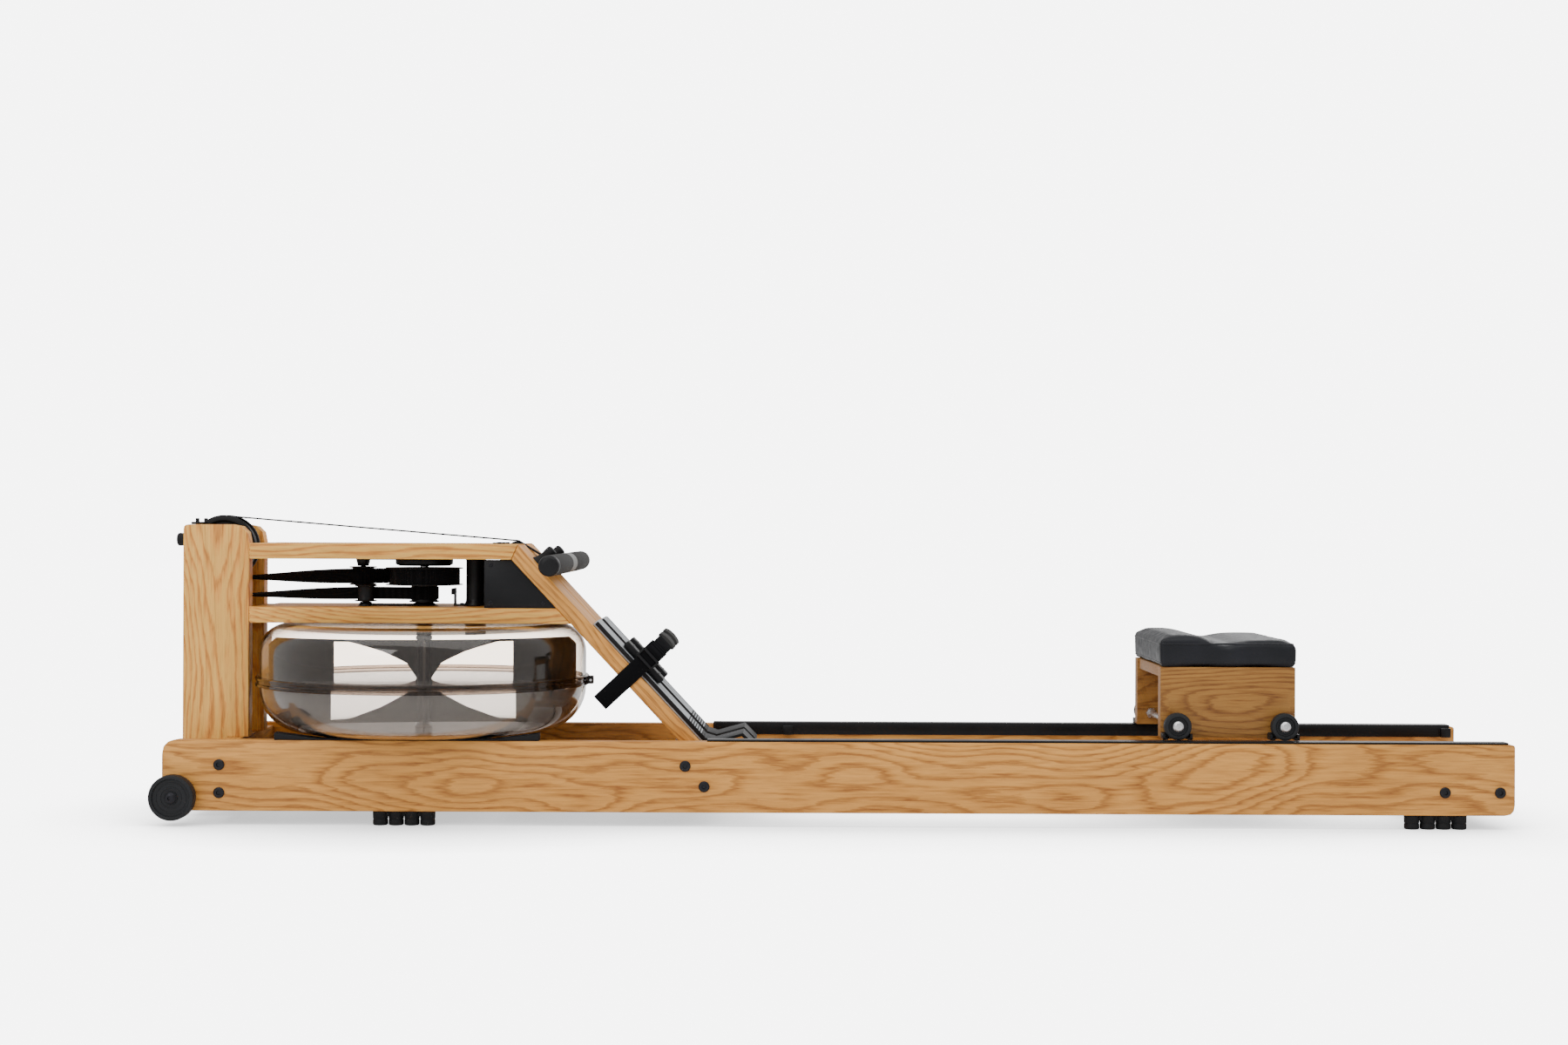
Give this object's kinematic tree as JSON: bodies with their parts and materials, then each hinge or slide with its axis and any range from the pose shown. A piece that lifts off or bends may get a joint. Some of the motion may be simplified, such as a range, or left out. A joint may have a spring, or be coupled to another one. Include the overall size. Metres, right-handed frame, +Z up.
{
  "type": "rowing machine",
  "caption": "Water-resistance rowing machine with an oak frame, a round clear tank, a strap-driven paddle, sliding seat, pull handle and foot plates with straps.",
  "frame": {"origin": "on the floor under the middle of the machine's overall box", "axes": "+X from the water tank to the rear end of the slide, +Y across the machine to the rower's right as they sit facing the tank, +Z up"},
  "size_m": [2.1, 0.55, 0.478],
  "materials": {
    "oak": "clear satin oil",
    "black_plastic": "fine matt moulding",
    "black_rubber": "matt",
    "grey_plastic": "satin moulding",
    "dark_plastic": "satin moulding",
    "clear_plastic": "clear polished polycarbonate",
    "water": "clear water",
    "leather": "fine-grained upholstery",
    "webbing": "woven webbing",
    "foam": "soft foam grip",
    "steel": "zinc-plated",
    "black_steel": "black-coated steel"
  },
  "bodies": {
    "frame": {"rail_left": "oak", "rail_right": "oak", "front_cross_board": "oak", "middle_cross_board": "oak", "rear_cross_board": "oak", "tower_post_left": "oak", "tower_post_right": "oak", "upper_deck": "oak", "lower_deck": "oak", "footboard_left": "oak", "footboard_right": "oak", "foot_front_left": "black_rubber", "foot_front_right": "black_rubber", "foot_rear_left": "black_rubber", "foot_rear_right": "black_rubber", "tank_pad_left": "black_rubber", "tank_pad_right": "black_rubber", "tank_plug": "black_rubber", "handle_rest": "black_rubber", "slide_strip_left": "black_plastic", "slide_strip_right": "black_plastic", "upper_bearing": "black_plastic", "lower_bearing": "black_plastic", "deck_column": "black_plastic", "drive_cover": "black_plastic", "tank_ring": "dark_plastic", "tank_lower_bowl": "clear_plastic", "tank_upper_bowl": "clear_plastic", "drive_strap": "webbing", "handle_strap": "webbing", "recoil_strap": "webbing", "foot_strap_left": "webbing", "foot_strap_right": "webbing", "cord_guide": "steel", "transport_axle": "black_steel"},
    "handle": {"handle_bar": "black_plastic", "handle_grip_left": "foam", "handle_grip_right": "foam"},
    "strap_roller": {"strap_roller": "black_plastic"},
    "front_pulley": {"front_pulley": "black_plastic"},
    "upper_guide": {"upper_guide_roller": "black_plastic"},
    "drum": {"strap_drum": "black_plastic"},
    "lower_guide": {"lower_guide_roller": "black_plastic"},
    "recoil_pulley": {"recoil_pulley": "black_plastic"},
    "paddle": {"paddle": "dark_plastic", "tank_water": "water"},
    "seat": {"seat_cushion": "leather", "seat_side_left": "oak", "seat_side_right": "oak", "seat_plate": "oak", "seat_axle_front": "steel", "seat_axle_rear": "steel"},
    "foot_plate_left": {"foot_plate_left": "grey_plastic"},
    "foot_plate_right": {"foot_plate_right": "grey_plastic"},
    "transport_wheel_left": {"transport_wheel_left": "black_rubber"},
    "transport_wheel_right": {"transport_wheel_right": "black_rubber"},
    "seat_wheel_front_left": {"seat_wheel_front_left": "black_rubber"},
    "seat_wheel_front_right": {"seat_wheel_front_right": "black_rubber"},
    "seat_wheel_rear_left": {"seat_wheel_rear_left": "black_rubber"},
    "seat_wheel_rear_right": {"seat_wheel_rear_right": "black_rubber"}
  },
  "joints": [
    {"name": "handle_pull", "type": "slide", "parent": "frame", "child": "handle", "axis": [1, 0, 0], "range_m": [0, 1.2], "stiffness_N_per_m": 18, "springref_m": -0.6, "deforming": ["handle_strap"]},
    {"name": "strap_roller_turn", "type": "hinge", "parent": "frame", "child": "strap_roller", "pos_m": [-0.51, 0, 0.4295], "axis": [0, 1, 0], "range_deg": [-5, 7319.4]},
    {"name": "front_pulley_turn", "type": "hinge", "parent": "frame", "child": "front_pulley", "pos_m": [-0.978, 0, 0.427], "axis": [0, 1, 0], "range_deg": [-5, 1396.8]},
    {"name": "drum_turn", "type": "hinge", "parent": "frame", "child": "drum", "pos_m": [-0.658, 0, 0], "axis": [0, 0, 1], "range_deg": [-5, 1232.8]},
    {"name": "upper_guide_turn", "type": "hinge", "parent": "frame", "child": "upper_guide", "pos_m": [-0.762, 0.028, 0], "axis": [0, 0, 1], "range_deg": [-3549.1, 5]},
    {"name": "recoil_pulley_turn", "type": "hinge", "parent": "frame", "child": "recoil_pulley", "pos_m": [-0.978, 0, 0.316], "axis": [0, 1, 0], "range_deg": [-5, 817.4]},
    {"name": "lower_guide_turn", "type": "hinge", "parent": "frame", "child": "lower_guide", "pos_m": [-0.748, -0.024, 0], "axis": [0, 0, 1], "range_deg": [-1826, 5]},
    {"name": "paddle_spin", "type": "hinge", "parent": "frame", "child": "paddle", "pos_m": [-0.658, 0, 0], "axis": [0, 0, 1], "continuous": true},
    {"name": "seat_slide", "type": "slide", "parent": "frame", "child": "seat", "axis": [1, 0, 0], "range_m": [-0.56, 0.29]},
    {"name": "seat_wheel_front_left_turn", "type": "hinge", "parent": "seat", "child": "seat_wheel_front_left", "pos_m": [0.5336, -0.15, 0.1561], "axis": [0, 1, 0], "range_deg": [-1497.4, 777.8]},
    {"name": "seat_wheel_front_right_turn", "type": "hinge", "parent": "seat", "child": "seat_wheel_front_right", "pos_m": [0.5336, 0.15, 0.1561], "axis": [0, 1, 0], "range_deg": [-1497.4, 777.8]},
    {"name": "seat_wheel_rear_left_turn", "type": "hinge", "parent": "seat", "child": "seat_wheel_rear_left", "pos_m": [0.6996, -0.15, 0.1561], "axis": [0, 1, 0], "range_deg": [-1497.4, 777.8]},
    {"name": "seat_wheel_rear_right_turn", "type": "hinge", "parent": "seat", "child": "seat_wheel_rear_right", "pos_m": [0.6996, 0.15, 0.1561], "axis": [0, 1, 0], "range_deg": [-1497.4, 777.8]},
    {"name": "foot_plate_left_slide", "type": "slide", "parent": "frame", "child": "foot_plate_left", "axis": [-0.682, 0, 0.7314], "range_m": [0, 0.08]},
    {"name": "foot_plate_right_slide", "type": "slide", "parent": "frame", "child": "foot_plate_right", "axis": [-0.682, 0, 0.7314], "range_m": [0, 0.08]},
    {"name": "transport_wheel_left_turn", "type": "hinge", "parent": "frame", "child": "transport_wheel_left", "pos_m": [-1.015, -0.185, 0.0436], "axis": [0, 1, 0], "continuous": true},
    {"name": "transport_wheel_right_turn", "type": "hinge", "parent": "frame", "child": "transport_wheel_right", "pos_m": [-1.015, 0.185, 0.0436], "axis": [0, 1, 0], "continuous": true}
  ],
  "couplings": [
    {"joint": "strap_roller_turn", "follows": "handle_pull", "rad_per_m": 106.38},
    {"joint": "front_pulley_turn", "follows": "handle_pull", "rad_per_m": 20.243},
    {"joint": "drum_turn", "follows": "handle_pull", "rad_per_m": 17.857},
    {"joint": "upper_guide_turn", "follows": "handle_pull", "rad_per_m": -51.546},
    {"joint": "recoil_pulley_turn", "follows": "handle_pull", "rad_per_m": 11.816},
    {"joint": "lower_guide_turn", "follows": "handle_pull", "rad_per_m": -26.486},
    {"joint": "seat_wheel_front_left_turn", "follows": "seat_slide", "rad_per_m": 46.512},
    {"joint": "seat_wheel_front_right_turn", "follows": "seat_slide", "rad_per_m": 46.512},
    {"joint": "seat_wheel_rear_left_turn", "follows": "seat_slide", "rad_per_m": 46.512},
    {"joint": "seat_wheel_rear_right_turn", "follows": "seat_slide", "rad_per_m": 46.512}
  ]
}
